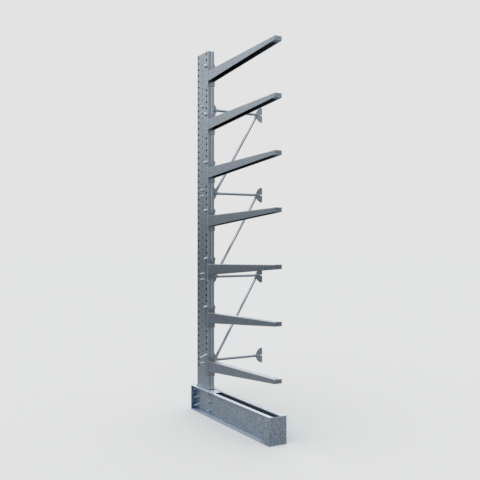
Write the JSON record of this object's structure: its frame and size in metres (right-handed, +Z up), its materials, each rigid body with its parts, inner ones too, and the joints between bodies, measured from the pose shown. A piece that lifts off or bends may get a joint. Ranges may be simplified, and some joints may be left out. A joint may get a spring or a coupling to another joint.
{
  "type": "cantilever rack",
  "caption": "Single-sided cantilever rack: perforated column on a long channel foot, tapered arms that pivot on through bolts, and braced bay brackets to one side.",
  "frame": {"origin": "on the floor, at the underside of the column's base plate, below the middle of the column", "axes": "+Z up along the column; -Y forward, the way the arms point; +X to the right, the side of the braced bay"},
  "size_m": [0.612, 1.255, 3],
  "materials": {
    "column_steel": "hot-dip galvanised, fine spangle",
    "foot_steel": "hot-dip galvanised, fine spangle",
    "arm_steel": "hot-dip galvanised, fine spangle",
    "bracing_steel": "zinc-plated, satin",
    "fastener_steel": "bright zinc-plated"
  },
  "bodies": {
    "root": {"column": "column_steel", "column_base_plate": "column_steel", "foot_channel_left": "foot_steel", "foot_channel_right": "foot_steel", "foot_front_cap": "foot_steel", "foot_rear_plate": "foot_steel", "foot_spacer": "foot_steel", "bracket_near_1": "bracing_steel", "bracket_near_2": "bracing_steel", "bracket_near_3": "bracing_steel", "bracket_near_4": "bracing_steel", "bracket_far_1": "bracing_steel", "bracket_far_2": "bracing_steel", "bracket_far_3": "bracing_steel", "bracket_far_4": "bracing_steel", "brace_horizontal_1": "bracing_steel", "brace_horizontal_2": "bracing_steel", "brace_horizontal_3": "bracing_steel", "brace_horizontal_4": "bracing_steel", "brace_diagonal_1": "bracing_steel", "brace_diagonal_2": "bracing_steel", "brace_diagonal_3": "bracing_steel", "foot_bolts": "fastener_steel", "foot_nuts": "fastener_steel", "foot_washers": "fastener_steel", "arm_bolts": "fastener_steel", "arm_nuts": "fastener_steel", "arm_washers": "fastener_steel", "bracket_bolts": "fastener_steel", "bracket_nuts": "fastener_steel", "bracket_washers": "fastener_steel", "brace_bolts": "fastener_steel", "brace_nuts": "fastener_steel", "brace_washers": "fastener_steel"},
    "arm_1": {"arm_1_beam": "arm_steel", "arm_1_head": "arm_steel", "arm_1_end_cap": "arm_steel"},
    "arm_2": {"arm_2_beam": "arm_steel", "arm_2_head": "arm_steel", "arm_2_end_cap": "arm_steel"},
    "arm_3": {"arm_3_beam": "arm_steel", "arm_3_head": "arm_steel", "arm_3_end_cap": "arm_steel"},
    "arm_4": {"arm_4_beam": "arm_steel", "arm_4_head": "arm_steel", "arm_4_end_cap": "arm_steel"},
    "arm_5": {"arm_5_beam": "arm_steel", "arm_5_head": "arm_steel", "arm_5_end_cap": "arm_steel"},
    "arm_6": {"arm_6_beam": "arm_steel", "arm_6_head": "arm_steel", "arm_6_end_cap": "arm_steel"},
    "arm_7": {"arm_7_beam": "arm_steel", "arm_7_head": "arm_steel", "arm_7_end_cap": "arm_steel"}
  },
  "joints": [
    {"name": "arm_1_lift", "type": "hinge", "parent": "root", "child": "arm_1", "pos_m": [0, -0.075, 2.88], "axis": [-1, 0, 0], "range_deg": [0, 15]},
    {"name": "arm_2_lift", "type": "hinge", "parent": "root", "child": "arm_2", "pos_m": [0, -0.075, 2.48], "axis": [-1, 0, 0], "range_deg": [0, 15]},
    {"name": "arm_3_lift", "type": "hinge", "parent": "root", "child": "arm_3", "pos_m": [0, -0.075, 2.08], "axis": [-1, 0, 0], "range_deg": [0, 15]},
    {"name": "arm_4_lift", "type": "hinge", "parent": "root", "child": "arm_4", "pos_m": [0, -0.075, 1.68], "axis": [-1, 0, 0], "range_deg": [0, 15]},
    {"name": "arm_5_lift", "type": "hinge", "parent": "root", "child": "arm_5", "pos_m": [0, -0.075, 1.28], "axis": [-1, 0, 0], "range_deg": [0, 15]},
    {"name": "arm_6_lift", "type": "hinge", "parent": "root", "child": "arm_6", "pos_m": [0, -0.075, 0.88], "axis": [-1, 0, 0], "range_deg": [0, 15]},
    {"name": "arm_7_lift", "type": "hinge", "parent": "root", "child": "arm_7", "pos_m": [0, -0.075, 0.48], "axis": [-1, 0, 0], "range_deg": [0, 15]}
  ]
}
